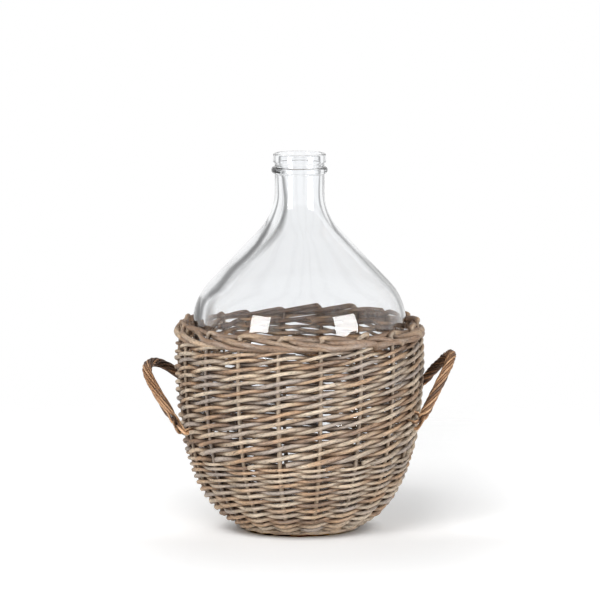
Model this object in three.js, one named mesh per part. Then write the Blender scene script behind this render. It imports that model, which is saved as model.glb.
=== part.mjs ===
// Wicker-covered glass jar: a clear demijohn standing loose in a round woven basket with two rope handles.
// Millimetres, +Z up, -Y to the front. The origin is on the floor under the middle of the basket.

import * as THREE from "three";

// Rods of the basket
const STAKE_COUNT = 18;
const STAKE_DIAMETER = 6;
const WEAVER_DIAMETER = 4.7;
const BASE_STICK_DIAMETER = 5;
const BASE_WEAVER_DIAMETER = 4.2;
const ROD_GAP = 0.4;

// Basket wall, as the line along which the stakes run
const BASE_RADIUS = 80;
const RIM_RADIUS = 147;
const BASKET_HEIGHT = 262;
const WAIST_HEIGHT = 100;
const UPRIGHT_HEIGHT = 215;
const UPSET_REACH = 38;
const UPSET_RISE = 21;
const SIDE_LEAN = 4;
const SIDE_REACH = 120;
const FIRST_ROW = 7;
const SWING_RUNS = 6;

// Foot ring and base
const FOOT_HEIGHT = 8.5;
const FOOT_WIDTH = 7;
const FOOT_SEGMENTS = 24;
const BASE_WEAVE_START = 44;

// Border, made of the stakes laid down over their neighbours
const BORDER_BEND = 8;
const BORDER_SPARE = 0.6;
const BORDER_TAIL = 0.15;

// Jar
const JAR_PLAY = 4.1;
const JAR_CLEARANCE = 1.2;
const MOUTH_HEIGHT = 471;
const NECK_RADIUS = 31;
const NECK_LENGTH = 75;
const CONE_ANGLE = THREE.MathUtils.degToRad(43.4);
const SHOULDER_ROUND = 75;
const NECK_ROUND = 70;
const GLASS_WALL = 4;
const BOTTOM_ROUND = 16;
const PUNT_RADIUS = 46;
const PUNT_HEIGHT = 12;
const LIP_RADIUS = 33;
const LIP_HEIGHT = 11;
const LIP_ROUND = 2;
const RING_RADIUS = 35;
const RING_DROP = 21;
const RING_HALF_HEIGHT = 4.4;
const JAR_SEGMENTS = 30;

// Handles: the stakes and rows at which each one starts and ends, and its arch between them
const RIGHT_HANDLE_STAKES = [1, 3];
const RIGHT_HANDLE_ROWS = [8, 14];
const RIGHT_HANDLE_RISE = 63.6;
const RIGHT_HANDLE_REACH = 29.9;
const RIGHT_HANDLE_LEAN = THREE.MathUtils.degToRad(-2.5);
const RIGHT_HANDLE_POINT = 1.19;
const LEFT_HANDLE_STAKES = [9, 12];
const LEFT_HANDLE_ROWS = [8, 6];
const LEFT_HANDLE_RISE = 66.3;
const LEFT_HANDLE_REACH = 35.2;
const LEFT_HANDLE_LEAN = THREE.MathUtils.degToRad(1);
const LEFT_HANDLE_POINT = 1.53;
const ARCH_ROUND = 0.16;
const ROPE_STRANDS = 3;
const ROPE_STRAND_DIAMETER = 5.2;
const ROPE_TIP_DIAMETER = 4;
const ROPE_STANDOFF = 3;
const ROPE_LAYS = 11;
const ROPE_STEPS = 22;

// Values that follow from the ones above
const STAKE_ANGLE = (2 * Math.PI) / STAKE_COUNT;
const HALF_COUNT = STAKE_COUNT / 2;
const STICKS_ACROSS = Math.ceil(HALF_COUNT / 2);
const STICKS_ALONG = HALF_COUNT - STICKS_ACROSS;
const FIRST_ANGLE = -((STICKS_ACROSS - 1) / 2) * STAKE_ANGLE;
const STAKE_R = STAKE_DIAMETER / 2;
const WEAVER_R = WEAVER_DIAMETER / 2;
const ROW_PITCH = WEAVER_DIAMETER + ROD_GAP;
const WALL_CONTACT = STAKE_R + WEAVER_R + ROD_GAP;
const BASE_CONTACT = BASE_STICK_DIAMETER / 2 + BASE_WEAVER_DIAMETER / 2 + ROD_GAP;
const UPSET_SLOPE = Math.atan2(UPSET_RISE, UPSET_REACH);
const BASE_LEVEL = FOOT_HEIGHT + ROD_GAP + STAKE_R * Math.cos(UPSET_SLOPE);
const RIM_LEVEL = BASKET_HEIGHT - STAKE_R;
const BORDER_DROP = STAKE_DIAMETER + BORDER_SPARE;
const BORDER_THROW = STAKE_DIAMETER + ROD_GAP;
const JAR_RADIUS = RIM_RADIUS - BORDER_THROW - STAKE_R - JAR_PLAY;

const glass = new THREE.MeshStandardMaterial({
  name: "clear_glass",
  color: 0xe6ecee,
  roughness: 0.05,
  transparent: true,
  opacity: 0.35,
});
const stakeWood = new THREE.MeshStandardMaterial({ name: "stake_wicker", color: 0x9c8468, roughness: 0.75 });
const weaverWood = new THREE.MeshStandardMaterial({
  name: "siding_wicker",
  color: 0xa89378,
  roughness: 0.75,
});
const baseWood = new THREE.MeshStandardMaterial({ name: "base_wicker", color: 0x8e775c, roughness: 0.8 });
const handleWood = new THREE.MeshStandardMaterial({ name: "handle_wicker", color: 0x8a6442, roughness: 0.7 });

const part = new THREE.Group();
part.name = "wicker_covered_glass_jar";

function addMesh(name, geometry, material) {
  const mesh = new THREE.Mesh(geometry, material);
  mesh.name = name;
  part.add(mesh);
  return mesh;
}

function numbered(name, index) {
  return `${name}_${String(index + 1).padStart(2, "0")}`;
}

function stakeAngle(index) {
  return FIRST_ANGLE + index * STAKE_ANGLE;
}

// A rod: rings of corners round each point, joined into a closed skin with a flat cap at both ends.
// The first corner of each ring points along its side vector; without those the ring is carried along
// untwisted.
function rodGeometry(points, radii, sides, sideVectors = null) {
  const last = points.length - 1;
  const positions = [];
  const side = new THREE.Vector3(0, 0, 1);
  for (let i = 0; i <= last; i += 1) {
    const ahead = points[Math.min(i + 1, last)];
    const behind = points[Math.max(i - 1, 0)];
    const tangent = new THREE.Vector3().subVectors(ahead, behind).normalize();
    if (sideVectors) {
      side.copy(sideVectors[i]);
    } else if (i === 0 && Math.abs(tangent.z) > 0.9) {
      side.set(1, 0, 0);
    }
    side.addScaledVector(tangent, -side.dot(tangent)).normalize();
    const across = new THREE.Vector3().crossVectors(tangent, side);
    for (let k = 0; k < sides; k += 1) {
      const turn = (2 * Math.PI * k) / sides;
      const corner = points[i].clone();
      corner.addScaledVector(side, radii[i] * Math.cos(turn));
      corner.addScaledVector(across, radii[i] * Math.sin(turn));
      positions.push(corner.x, corner.y, corner.z);
    }
  }
  const faces = [];
  for (let i = 0; i < last; i += 1) {
    for (let k = 0; k < sides; k += 1) {
      const a = i * sides + k;
      const b = i * sides + ((k + 1) % sides);
      faces.push(a, b, a + sides, b, b + sides, a + sides);
    }
  }
  const end = last * sides;
  for (let k = 1; k < sides - 1; k += 1) {
    faces.push(0, k + 1, k);
    faces.push(end, end + k, end + k + 1);
  }
  const geometry = new THREE.BufferGeometry();
  geometry.setAttribute("position", new THREE.Float32BufferAttribute(positions, 3));
  geometry.setIndex(faces);
  geometry.computeVertexNormals();
  return geometry;
}

function sameRadius(points, radius) {
  return points.map(() => radius);
}

// The wall line: a curve from the base edge that swings up to the upright part, then straight to the rim.
// The stakes are bent in straight runs, and the wall follows those runs so that the rods lie on the stakes.
const wallTurn = new THREE.Vector2(RIM_RADIUS, UPRIGHT_HEIGHT);
const swing = new THREE.CubicBezierCurve(
  new THREE.Vector2(BASE_RADIUS, BASE_LEVEL),
  new THREE.Vector2(BASE_RADIUS + UPSET_REACH, BASE_LEVEL + UPSET_RISE),
  new THREE.Vector2(RIM_RADIUS - SIDE_LEAN, UPRIGHT_HEIGHT - SIDE_REACH),
  wallTurn
);
const SWING_LENGTH = swing.getLength();
const SWING_RUN = SWING_LENGTH / SWING_RUNS;
const WALL_LENGTH = SWING_LENGTH + RIM_LEVEL - UPRIGHT_HEIGHT;
const wallBends = swing.getSpacedPoints(SWING_RUNS);

function wallFrame(along) {
  if (along >= SWING_LENGTH) {
    return { radius: RIM_RADIUS, height: UPRIGHT_HEIGHT + along - SWING_LENGTH, outward: 1, upward: 0 };
  }
  const run = Math.floor(along / SWING_RUN);
  const point = wallBends[run].clone().lerp(wallBends[run + 1], along / SWING_RUN - run);
  const tangent = swing.getTangentAt(along / SWING_LENGTH);
  return { radius: point.x, height: point.y, outward: tangent.y, upward: -tangent.x };
}

// The value between two ends at which a condition that holds at the low end stops holding
function bisect(low, high, holds) {
  let from = low;
  let to = high;
  for (let i = 0; i < 40; i += 1) {
    const middle = (from + to) / 2;
    if (holds(middle)) {
      from = middle;
    } else {
      to = middle;
    }
  }
  return from;
}

function alongAtHeight(height) {
  return bisect(0, WALL_LENGTH, (along) => wallFrame(along).height < height);
}

function polar(radius, angle, height) {
  return new THREE.Vector3(radius * Math.cos(angle), radius * Math.sin(angle), height);
}

function onWall(along, angle, depth) {
  const frame = wallFrame(along);
  return polar(frame.radius + depth * frame.outward, angle, frame.height + depth * frame.upward);
}

function wallNormal(along, angle) {
  const frame = wallFrame(along);
  return polar(frame.outward, angle, frame.upward);
}

// How far straight runs of rod must stand off two posts to clear both, going in front of one and behind
// the next.
// On a round wall the next post lies further in by the sag, which asks more of the rod in front.
function throwsFor(spacing, contact, sag) {
  let front = contact;
  let back = contact;
  for (let i = 0; i < 30; i += 1) {
    const reach = front + back;
    front = (contact * Math.hypot(spacing, reach + sag)) / spacing;
    back = (contact * Math.hypot(spacing, reach - sag)) / spacing;
  }
  return { front, back };
}

function wallThrows(along) {
  const { radius, outward } = wallFrame(along);
  const sag = radius * (1 - Math.cos(STAKE_ANGLE)) * outward;
  return throwsFor(radius * Math.sin(STAKE_ANGLE), WALL_CONTACT, sag);
}

function weaveDepth(along, inFront) {
  const { front, back } = wallThrows(along);
  return inFront ? front : -back;
}

// Base: two layers of sticks crossing in the middle and fanning out, one end to each stake
const STICK_PITCH = BASE_STICK_DIAMETER + ROD_GAP;
const UPSET_ANGLE = wallBends[1].clone().sub(wallBends[0]).angle();
const STICK_END = BASE_RADIUS - ROD_GAP - STAKE_R * Math.sin(UPSET_ANGLE);

function baseStick(index) {
  const along = index < STICKS_ALONG;
  const count = along ? STICKS_ALONG : STICKS_ACROSS;
  const crossing = along ? STICKS_ACROSS : STICKS_ALONG;
  const place = (along ? index : index - STICKS_ALONG) - (count - 1) / 2;
  const knee = (crossing / 2) * STICK_PITCH + STICK_PITCH;
  const level = BASE_LEVEL + (along ? STICK_PITCH / 2 : -STICK_PITCH / 2);
  const fan = place * STAKE_ANGLE;
  const tip = new THREE.Vector3(STICK_END * Math.sin(fan), STICK_END * Math.cos(fan), BASE_LEVEL);
  const bend = new THREE.Vector3(place * STICK_PITCH, knee, level);
  const points = [
    new THREE.Vector3(tip.x, -tip.y, tip.z),
    new THREE.Vector3(bend.x, -bend.y, bend.z),
    bend,
    tip,
  ];
  if (!along) {
    points.forEach((point) => point.set(point.y, point.x, point.z));
  }
  return points;
}

const sticks = [];
for (let i = 0; i < HALF_COUNT; i += 1) {
  const points = baseStick(i);
  sticks.push(points);
  const up = points.map(() => new THREE.Vector3(0, 0, 1));
  const radii = sameRadius(points, BASE_STICK_DIAMETER / 2);
  addMesh(numbered("base_stick", i), rodGeometry(points, radii, 5, up), baseWood);
}

// The outer run of the stick end that points to a stake
function spokeOf(stakeIndex) {
  const angle = stakeAngle(stakeIndex);
  let best = null;
  let least = Infinity;
  sticks.forEach((points) => {
    [[points[1], points[0]], [points[2], points[3]]].forEach(([inner, outer]) => {
      const away = Math.abs(Math.sin((Math.atan2(outer.y, outer.x) - angle) / 2));
      if (away < least) {
        least = away;
        best = [inner, outer];
      }
    });
  });
  return best;
}

function spokePoint([inner, outer], radius) {
  const at = (share) => new THREE.Vector3().lerpVectors(inner, outer, share);
  return at(bisect(0, 1, (share) => Math.hypot(at(share).x, at(share).y) < radius));
}

const spokes = [];
for (let k = 0; k < STAKE_COUNT; k += 1) {
  spokes.push(spokeOf(k));
}
const BASE_PITCH = BASE_WEAVER_DIAMETER + ROD_GAP;
const BASE_WEAVE_END = STICK_END - BASE_PITCH;

function baseThrow(radius) {
  return throwsFor(radius * STAKE_ANGLE, BASE_CONTACT, 0).front;
}

function baseWeaver(weaver) {
  const step = (2 * BASE_PITCH) / STAKE_COUNT;
  const strokes = Math.floor((BASE_WEAVE_END - BASE_WEAVE_START) / step);
  const points = [];
  for (let n = 0; n <= strokes; n += 1) {
    const radius = BASE_WEAVE_START + n * step;
    const stake = (n + weaver * HALF_COUNT) % STAKE_COUNT;
    const point = spokePoint(spokes[stake], radius);
    point.z += (n % 2 === 0 ? 1 : -1) * baseThrow(radius);
    points.push(point);
  }
  return points;
}

let baseTop = BASE_LEVEL;
for (let weaver = 0; weaver < 2; weaver += 1) {
  const points = baseWeaver(weaver);
  baseTop = Math.max(baseTop, ...points.map((point) => point.z));
  const up = points.map(() => new THREE.Vector3(0, 0, 1));
  const radii = sameRadius(points, BASE_WEAVER_DIAMETER / 2);
  addMesh(numbered("base_weaver", weaver), rodGeometry(points, radii, 4, up), baseWood);
}

// Foot ring, flat underneath, on which the basket stands
const footMiddle = BASE_RADIUS + STAKE_R * Math.sin(UPSET_SLOPE);
const footChamfer = FOOT_WIDTH / 4;
const footProfile = [
  new THREE.Vector2(footMiddle - FOOT_WIDTH / 2 + footChamfer, 0),
  new THREE.Vector2(footMiddle + FOOT_WIDTH / 2 - footChamfer, 0),
  new THREE.Vector2(footMiddle + FOOT_WIDTH / 2, FOOT_HEIGHT / 2),
  new THREE.Vector2(footMiddle + FOOT_WIDTH / 2 - footChamfer, FOOT_HEIGHT),
  new THREE.Vector2(footMiddle - FOOT_WIDTH / 2 + footChamfer, FOOT_HEIGHT),
  new THREE.Vector2(footMiddle - FOOT_WIDTH / 2, FOOT_HEIGHT / 2),
  new THREE.Vector2(footMiddle - FOOT_WIDTH / 2 + footChamfer, 0),
];
addMesh("foot_ring", new THREE.LatheGeometry(footProfile, FOOT_SEGMENTS).rotateX(Math.PI / 2), baseWood);

// Lower siding: two rods chasing each other up round the stakes, each in front of every other stake
const WAIST_ALONG = alongAtHeight(WAIST_HEIGHT);

function lowerWeaver(weaver) {
  const step = (2 * ROW_PITCH) / STAKE_COUNT;
  let strokes = Math.floor((WAIST_ALONG - ROW_PITCH - FIRST_ROW) / step);
  strokes -= (strokes + 1) % 2;
  const points = [];
  const normals = [];
  for (let n = 0; n <= strokes; n += 1) {
    const along = FIRST_ROW + n * step;
    const angle = stakeAngle(n + weaver * HALF_COUNT);
    points.push(onWall(along, angle, weaveDepth(along, n % 2 === 0)));
    normals.push(wallNormal(along, angle));
  }
  return { points, normals };
}

for (let weaver = 0; weaver < 2; weaver += 1) {
  const { points, normals } = lowerWeaver(weaver);
  addMesh(
    numbered("lower_siding_rod", weaver),
    rodGeometry(points, sameRadius(points, WEAVER_R), 4, normals),
    weaverWood
  );
}

// Upper siding: one rod to each stake, each climbing one row per stake, behind one and in front of the next
const BORDER_BOTTOM = RIM_LEVEL - (4 + BORDER_TAIL) * BORDER_DROP - STAKE_R;
const UPPER_TOP = alongAtHeight(BORDER_BOTTOM - ROD_GAP - WEAVER_R);
const UPPER_STROKES = 2 * Math.floor((UPPER_TOP - WAIST_ALONG) / ROW_PITCH / 2);

function upperWeaver(first) {
  const points = [];
  const normals = [];
  for (let j = 0; j <= UPPER_STROKES; j += 1) {
    const along = WAIST_ALONG + j * ROW_PITCH;
    const angle = stakeAngle(first + j);
    points.push(onWall(along, angle, weaveDepth(along, j % 2 === 1)));
    normals.push(wallNormal(along, angle));
  }
  return { points, normals };
}

for (let first = 0; first < STAKE_COUNT; first += 1) {
  const { points, normals } = upperWeaver(first);
  addMesh(
    numbered("upper_siding_rod", first),
    rodGeometry(points, sameRadius(points, WEAVER_R), 4, normals),
    weaverWood
  );
}

// Stakes: up the wall, then bent over behind one stake, in front of two and behind one to make the border
const BEND_SHARE = BORDER_BEND / (RIM_RADIUS * STAKE_ANGLE);
const BEND_TOP = RIM_LEVEL - BORDER_DROP * BEND_SHARE;

function stakeRod(index) {
  const angle = stakeAngle(index);
  const points = [];
  const normals = [];
  const alongs = wallBends.map((bend, i) => i * SWING_RUN);
  alongs.push(alongAtHeight(BEND_TOP - BORDER_BEND));
  alongs.forEach((along) => {
    points.push(onWall(along, angle, 0));
    normals.push(wallNormal(along, angle));
  });
  [45, 90].forEach((degrees) => {
    const turn = THREE.MathUtils.degToRad(degrees);
    const swing = angle + (BORDER_BEND * (1 - Math.cos(turn))) / RIM_RADIUS;
    points.push(polar(RIM_RADIUS, swing, BEND_TOP - BORDER_BEND * (1 - Math.sin(turn))));
    normals.push(polar(1, swing, 0));
  });
  [[1, -1], [2, 1], [3, 1], [4, -1], [4 + BORDER_TAIL, -1]].forEach(([share, side]) => {
    const swing = angle + share * STAKE_ANGLE;
    points.push(polar(RIM_RADIUS + side * BORDER_THROW, swing, RIM_LEVEL - share * BORDER_DROP));
    normals.push(polar(1, swing, 0));
  });
  return { points, normals };
}

for (let index = 0; index < STAKE_COUNT; index += 1) {
  const { points, normals } = stakeRod(index);
  addMesh(
    numbered("stake", index),
    rodGeometry(points, sameRadius(points, STAKE_R), 5, normals),
    stakeWood
  );
}

// Jar: a bottom that follows the inside of the basket, a round shoulder, a cone and a neck with a bead
const JAR_FLOOR = baseTop + BASE_WEAVER_DIAMETER / 2 + ROD_GAP;
const NECK_CORNER = MOUTH_HEIGHT - NECK_LENGTH;
const SHOULDER_CORNER = NECK_CORNER - (JAR_RADIUS - NECK_RADIUS) / Math.tan(CONE_ANGLE);
const BODY_STEPS = 5;

// Corners of a line in a plane, each with a radius, turned into points with the corners rounded
function rounded(corners, steps) {
  const points = [];
  corners.forEach(([x, y, radius], i) => {
    const here = new THREE.Vector2(x, y);
    if (!radius || i === 0 || i === corners.length - 1) {
      points.push(here);
      return;
    }
    const before = new THREE.Vector2(corners[i - 1][0], corners[i - 1][1]).sub(here).normalize();
    const after = new THREE.Vector2(corners[i + 1][0], corners[i + 1][1]).sub(here).normalize();
    const half = Math.acos(THREE.MathUtils.clamp(before.dot(after), -1, 1)) / 2;
    const middle = before.clone().add(after).normalize().multiplyScalar(radius / Math.sin(half));
    const centre = here.clone().add(middle);
    const first = before.clone().multiplyScalar(radius / Math.tan(half)).add(here).sub(centre);
    const final = after.clone().multiplyScalar(radius / Math.tan(half)).add(here).sub(centre);
    const sweep = Math.atan2(first.cross(final), first.dot(final));
    for (let k = 0; k <= steps; k += 1) {
      points.push(first.clone().rotateAround(new THREE.Vector2(), (sweep * k) / steps).add(centre));
    }
  });
  return points;
}

// A point of the jar's side, which keeps clear of the rods inside the basket up to the jar's full width
function hugPoint(along, inset) {
  const frame = wallFrame(along);
  const depth = wallThrows(along).back + WEAVER_R + JAR_CLEARANCE + inset;
  const radius = Math.min(frame.radius - depth * frame.outward, JAR_RADIUS - inset);
  return [radius, frame.height - depth * frame.upward, 0];
}

// The jar's line from its middle underneath up to the plain neck, moved in from the outside by an amount
function jarLine(inset) {
  const floor = JAR_FLOOR + inset;
  const corners = [[0, floor + PUNT_HEIGHT, 0], [PUNT_RADIUS, floor, 0]];
  const sideEnd = alongAtHeight(UPRIGHT_HEIGHT);
  const sideStart = bisect(0, sideEnd, (along) => hugPoint(along, inset)[1] < floor);
  const [edge] = hugPoint(sideStart, inset);
  corners.push([edge, floor, BOTTOM_ROUND - inset]);
  for (let i = 1; i <= BODY_STEPS; i += 1) {
    corners.push(hugPoint(sideStart + ((sideEnd - sideStart) * i) / BODY_STEPS, inset));
  }
  const slide = inset * Math.tan(CONE_ANGLE / 2);
  corners.push([JAR_RADIUS - inset, SHOULDER_CORNER - slide, SHOULDER_ROUND - inset]);
  corners.push([NECK_RADIUS - inset, NECK_CORNER - slide, NECK_ROUND + inset]);
  corners.push([NECK_RADIUS - inset, MOUTH_HEIGHT - RING_DROP - RING_HALF_HEIGHT, 0]);
  return rounded(corners, 4);
}

const outside = jarLine(0);
const inside = jarLine(GLASS_WALL);
const bore = NECK_RADIUS - GLASS_WALL;
const ringLevel = MOUTH_HEIGHT - RING_DROP;
const ringSwell = RING_RADIUS - NECK_RADIUS;
const finish = [
  new THREE.Vector2(NECK_RADIUS + 0.8 * ringSwell, ringLevel - RING_HALF_HEIGHT / 2),
  new THREE.Vector2(RING_RADIUS, ringLevel),
  new THREE.Vector2(NECK_RADIUS + 0.8 * ringSwell, ringLevel + RING_HALF_HEIGHT / 2),
  new THREE.Vector2(NECK_RADIUS, ringLevel + RING_HALF_HEIGHT),
  new THREE.Vector2(NECK_RADIUS, MOUTH_HEIGHT - LIP_HEIGHT - LIP_ROUND),
  new THREE.Vector2(LIP_RADIUS, MOUTH_HEIGHT - LIP_HEIGHT),
  new THREE.Vector2(LIP_RADIUS, MOUTH_HEIGHT - LIP_ROUND),
  new THREE.Vector2(LIP_RADIUS - LIP_ROUND, MOUTH_HEIGHT),
  new THREE.Vector2(bore + LIP_ROUND / 2, MOUTH_HEIGHT),
  new THREE.Vector2(bore, MOUTH_HEIGHT - LIP_ROUND),
];
const jarProfile = [...outside, ...finish, ...inside.reverse()];
addMesh("glass_jar", new THREE.LatheGeometry(jarProfile, JAR_SEGMENTS).rotateX(Math.PI / 2), glass);

// Handles: three strands laid into a rope over an arch, each end tucked into a gap of the weave at a stake
const STRAND_R = ROPE_STRAND_DIAMETER / 2;
const ROPE_CORE = ((ROPE_STRAND_DIAMETER + ROD_GAP) / 2 / Math.sin(Math.PI / ROPE_STRANDS)) * 1.08;
const ROPE_START_SHARE = 0.26;
const ARCH_WIDTH = Math.hypot(1, ARCH_ROUND) - ARCH_ROUND;
const POCKET_SPREAD = 2 * ROW_PITCH;
const POCKET_SIDE = ROPE_TIP_DIAMETER;

function rowAlong(row) {
  return WAIST_ALONG + row * ROW_PITCH;
}

function wallFace(along) {
  return wallThrows(along).front + WEAVER_R;
}

// Height of the arch as a share of its rise: 0 at the feet, 1 at the rounded point between its legs
function archShare(handle, turn) {
  const across = (Math.hypot(Math.cos(turn), ARCH_ROUND) - ARCH_ROUND) / ARCH_WIDTH;
  return Math.max(1 - across ** handle.point, 0) ** (1 / handle.point);
}

// The turn at which the arch has a share of its height on the way up
function archTurn(handle, share) {
  const across = (1 - share ** handle.point) ** (1 / handle.point);
  const width = across * ARCH_WIDTH + ARCH_ROUND;
  return Math.acos(Math.sqrt(width ** 2 - ARCH_ROUND ** 2));
}

// The middle line of a handle, from its first foot at turn 0 over the top to its second foot at half a turn
function ropeMiddle(handle, turn) {
  const share = (1 - Math.cos(turn)) / 2;
  const feet = handle.rows.map((row) => wallFrame(rowAlong(row)));
  const standing = feet.map((foot, i) => foot.radius + wallFace(rowAlong(handle.rows[i])));
  const between = (ends) => THREE.MathUtils.lerp(ends[0], ends[1], share);
  const arch = archShare(handle, turn);
  const angle = between(handle.stakes.map(stakeAngle)) + handle.lean * arch;
  const radius = between(standing) + ROPE_CORE + STRAND_R + ROPE_STANDOFF + handle.reach * arch;
  return polar(radius, angle, between(feet.map((foot) => foot.height)) + handle.rise * arch);
}

function ropeFrame(handle, turn) {
  const step = 0.001;
  const tangent = ropeMiddle(handle, turn + step).sub(ropeMiddle(handle, turn - step)).normalize();
  const middle = (stakeAngle(handle.stakes[0]) + stakeAngle(handle.stakes[1])) / 2;
  const slope = polar(handle.reach, middle, handle.rise).normalize();
  const along = polar(1, middle + Math.PI / 2, 0);
  const outer = new THREE.Vector3().crossVectors(along, slope).normalize();
  outer.addScaledVector(tangent, -outer.dot(tangent)).normalize();
  if (outer.dot(polar(1, middle, 0)) < 0) {
    outer.negate();
  }
  const beside = new THREE.Vector3().crossVectors(outer, tangent);
  return { outer, beside };
}

// Where a strand goes into the wall: 0 is the top gap, nearest the wall, 1 the middle one, 2 the bottom one
function pocket(handle, foot, gap, depthFrom) {
  const along = rowAlong(handle.rows[foot]) + (1 - gap) * POCKET_SPREAD;
  const shift = (foot === 0 ? -1 : 1) * [0, -POCKET_SIDE, POCKET_SIDE][gap];
  const angle = stakeAngle(handle.stakes[foot]) + shift / wallFrame(along).radius;
  return onWall(along, angle, depthFrom(along));
}

function handleStrand(handle, strand) {
  const points = [];
  const radii = [];
  const lay = (2 * Math.PI) / ROPE_STRANDS;
  const gaps = [strand, (strand + ROPE_LAYS) % ROPE_STRANDS];
  const start = archTurn(handle, ROPE_START_SHARE);
  const exit = (along) => wallFace(along) + STRAND_R;
  const tuck = () => STAKE_R + ROD_GAP;
  points.push(pocket(handle, 0, gaps[0], tuck), pocket(handle, 0, gaps[0], exit));
  radii.push(ROPE_TIP_DIAMETER / 2, ROPE_TIP_DIAMETER / 2);
  for (let i = 0; i <= ROPE_STEPS; i += 1) {
    const share = i / ROPE_STEPS;
    const turn = start + (Math.PI - 2 * start) * share;
    const phase = Math.PI + lay * (strand + ROPE_LAYS * share);
    const { outer, beside } = ropeFrame(handle, turn);
    const point = ropeMiddle(handle, turn);
    point.addScaledVector(outer, ROPE_CORE * Math.cos(phase));
    point.addScaledVector(beside, ROPE_CORE * Math.sin(phase));
    points.push(point);
    radii.push(STRAND_R);
  }
  points.push(pocket(handle, 1, gaps[1], exit), pocket(handle, 1, gaps[1], tuck));
  radii.push(ROPE_TIP_DIAMETER / 2, ROPE_TIP_DIAMETER / 2);
  return rodGeometry(points, radii, 4);
}

const handles = [
  {
    name: "right",
    stakes: RIGHT_HANDLE_STAKES,
    rows: RIGHT_HANDLE_ROWS,
    rise: RIGHT_HANDLE_RISE,
    reach: RIGHT_HANDLE_REACH,
    lean: RIGHT_HANDLE_LEAN,
    point: RIGHT_HANDLE_POINT,
  },
  {
    name: "left",
    stakes: LEFT_HANDLE_STAKES,
    rows: LEFT_HANDLE_ROWS,
    rise: LEFT_HANDLE_RISE,
    reach: LEFT_HANDLE_REACH,
    lean: LEFT_HANDLE_LEAN,
    point: LEFT_HANDLE_POINT,
  },
];
handles.forEach((handle) => {
  for (let strand = 0; strand < ROPE_STRANDS; strand += 1) {
    addMesh(`${handle.name}_handle_strand_${strand + 1}`, handleStrand(handle, strand), handleWood);
  }
});

export default part;
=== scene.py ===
import math

import bpy
import numpy as np
from bpy.props import FloatProperty, FloatVectorProperty, IntProperty, PointerProperty
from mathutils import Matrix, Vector


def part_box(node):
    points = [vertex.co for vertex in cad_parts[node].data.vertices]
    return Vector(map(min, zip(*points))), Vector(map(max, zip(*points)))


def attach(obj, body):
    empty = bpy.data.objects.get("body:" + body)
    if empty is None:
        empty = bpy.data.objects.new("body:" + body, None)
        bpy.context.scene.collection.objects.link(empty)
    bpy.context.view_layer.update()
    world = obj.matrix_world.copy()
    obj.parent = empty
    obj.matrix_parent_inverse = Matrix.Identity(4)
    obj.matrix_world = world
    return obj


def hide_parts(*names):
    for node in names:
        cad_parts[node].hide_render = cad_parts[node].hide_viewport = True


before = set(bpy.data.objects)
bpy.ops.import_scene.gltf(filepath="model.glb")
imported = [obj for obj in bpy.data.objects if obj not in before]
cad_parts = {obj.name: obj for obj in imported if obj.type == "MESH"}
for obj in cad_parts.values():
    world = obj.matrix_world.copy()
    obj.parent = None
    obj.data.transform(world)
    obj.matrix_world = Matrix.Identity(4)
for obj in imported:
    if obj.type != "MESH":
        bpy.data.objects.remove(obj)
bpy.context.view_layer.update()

bl_info = {
    "name": "Wicker-covered glass jar",
    "version": (1, 0, 0),
    "blender": (4, 5, 0),
    "location": "3D View > Sidebar > Wicker Jar",
    "description": "Weaves the basket rod by rod, blows the jar and lights both on a pale stage",
    "category": "Object",
}

MOUTH_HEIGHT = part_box("glass_jar")[1].z
JAR_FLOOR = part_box("glass_jar")[0].z
BASKET_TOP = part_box("stake_01")[1].z
FOOT_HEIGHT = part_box("foot_ring")[1].z
FULL_TURN = 2 * math.pi
ROD_GAP = 0.0004


def linear(red, green, blue):
    """An 8-bit display colour as the linear colour that Blender's sockets take."""
    share = np.array([red, green, blue]) / 255
    return tuple(np.where(share <= 0.04045, share / 12.92, ((share + 0.055) / 1.055) ** 2.4))


def length(name, description, default):
    """A size in metres that a user can set."""
    return FloatProperty(name=name, description=description, default=default, unit="LENGTH", precision=4)


def angle(name, description, degrees):
    """An angle that a user can set, written here in degrees and kept in radians."""
    return FloatProperty(name=name, description=description, default=math.radians(degrees), unit="ROTATION")


def colour(name, description, red, green, blue):
    """A colour that a user can set, written here as an 8-bit display colour."""
    return FloatVectorProperty(
        name=name,
        description=description,
        default=linear(red, green, blue),
        subtype="COLOR",
        size=3,
        min=0,
        max=1,
    )


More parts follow.
